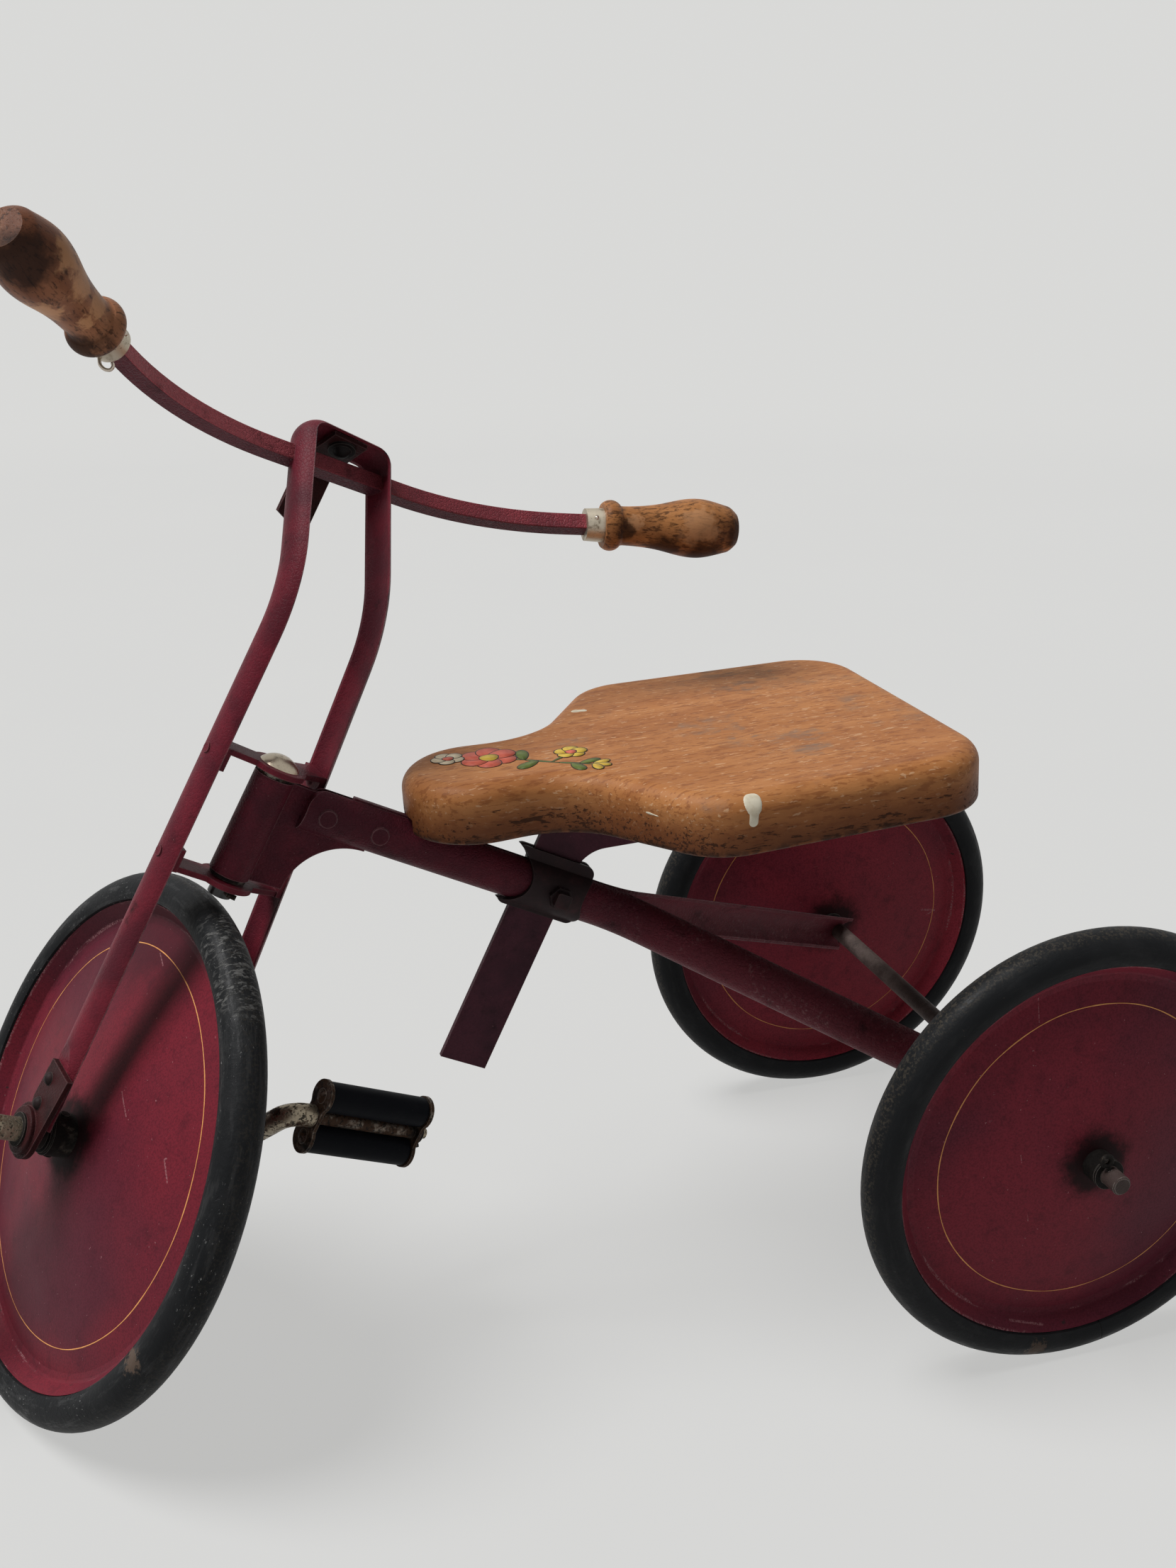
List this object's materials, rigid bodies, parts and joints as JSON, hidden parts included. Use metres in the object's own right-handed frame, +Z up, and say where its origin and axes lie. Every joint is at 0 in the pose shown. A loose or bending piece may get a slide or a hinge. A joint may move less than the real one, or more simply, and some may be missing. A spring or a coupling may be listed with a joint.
{
  "type": "children's tricycle",
  "caption": "Old steel children's tricycle: wooden seat on a clamped post, steerable front wheel driven by cranks with rubber pedals, disc wheels with solid tyres, wood-gripped bar.",
  "frame": {"origin": "on the floor under the middle of the tricycle's bounding box", "axes": "+X forwards from the rear axle to the steering head, +Y to the rider's left, +Z up; the fork rests turned to its right-hand stop as in the picture"},
  "size_m": [0.7623, 0.3848, 0.5763],
  "materials": {
    "disc_paint": "worn gloss burgundy",
    "frame_paint": "worn dark burgundy",
    "black_steel": "blackened",
    "bare_steel": "worn and rusty",
    "nickel": "dulled nickel plate",
    "tyre_rubber": "scuffed",
    "pedal_rubber": "smooth worn",
    "seat_wood": "worn varnish",
    "grip_wood": "worn varnish"
  },
  "bodies": {
    "frame": {"head_lug": "frame_paint", "head_bush_upper": "bare_steel", "head_bush_lower": "bare_steel", "backbone_left": "frame_paint", "backbone_right": "frame_paint", "head_rivets": "frame_paint", "clamp_left": "black_steel", "clamp_right": "black_steel", "clamp_bolt": "black_steel", "clamp_nut": "black_steel", "rear_axle": "bare_steel", "axle_keepers": "bare_steel"},
    "fork": {"fork_strip": "frame_paint", "upper_crown": "frame_paint", "lower_crown": "frame_paint", "crown_rivets": "frame_paint", "steering_pin": "nickel", "pin_keeper": "bare_steel", "handlebar": "frame_paint", "ferrule_left": "nickel", "ferrule_right": "nickel", "grip_left": "grip_wood", "grip_right": "grip_wood", "grip_pins": "bare_steel", "front_bracket": "black_steel", "bracket_bolt": "black_steel", "fork_lug_left": "frame_paint", "fork_lug_right": "frame_paint", "lug_rivets": "bare_steel", "axle_bush_left": "bare_steel", "axle_bush_right": "bare_steel"},
    "front_wheel": {"front_tyre": "tyre_rubber", "front_left_disc": "disc_paint", "front_right_disc": "disc_paint", "front_hub": "bare_steel", "hub_pin": "bare_steel", "crank_axle": "bare_steel", "crank_spacers": "bare_steel", "pedal_keepers": "bare_steel"},
    "left_pedal": {"left_pedal_blocks": "pedal_rubber", "left_pedal_inner_plate": "bare_steel", "left_pedal_outer_plate": "bare_steel", "left_pedal_rods": "bare_steel"},
    "right_pedal": {"right_pedal_blocks": "pedal_rubber", "right_pedal_inner_plate": "bare_steel", "right_pedal_outer_plate": "bare_steel", "right_pedal_rods": "bare_steel"},
    "rear_left_wheel": {"rear_left_hub": "bare_steel", "rear_left_inner_disc": "disc_paint", "rear_left_outer_disc": "disc_paint", "rear_left_tyre": "tyre_rubber"},
    "rear_right_wheel": {"rear_right_hub": "bare_steel", "rear_right_inner_disc": "disc_paint", "rear_right_outer_disc": "disc_paint", "rear_right_tyre": "tyre_rubber"},
    "seat": {"seat_board": "seat_wood", "seat_plate": "frame_paint", "seat_post": "frame_paint", "seat_screws": "bare_steel"}
  },
  "joints": [
    {"name": "steering", "type": "hinge", "parent": "frame", "child": "fork", "pos_m": [0.20983, 0, 0.12526], "axis": [-0.4772, 0, 0.8788], "range_deg": [0, 140]},
    {"name": "front_wheel_spin", "type": "hinge", "parent": "fork", "child": "front_wheel", "pos_m": [0.20983, 0, 0.12526], "axis": [0.8426, 0.284, 0.4575], "continuous": true},
    {"name": "left_pedal_spin", "type": "hinge", "parent": "front_wheel", "child": "left_pedal", "pos_m": [0.33158, -0.01444, 0.12858], "axis": [0.8426, 0.284, 0.4575], "continuous": true},
    {"name": "right_pedal_spin", "type": "hinge", "parent": "front_wheel", "child": "right_pedal", "pos_m": [0.08809, 0.01444, 0.12195], "axis": [0.8426, 0.284, 0.4575], "continuous": true},
    {"name": "rear_left_spin", "type": "hinge", "parent": "frame", "child": "rear_left_wheel", "pos_m": [-0.26117, 0.154, 0.12], "axis": [0, 1, 0], "continuous": true},
    {"name": "rear_right_spin", "type": "hinge", "parent": "frame", "child": "rear_right_wheel", "pos_m": [-0.26117, -0.154, 0.12], "axis": [0, 1, 0], "continuous": true},
    {"name": "seat_height", "type": "slide", "parent": "frame", "child": "seat", "axis": [-0.4348, 0, 0.9005], "range_m": [0, 0.042]}
  ]
}
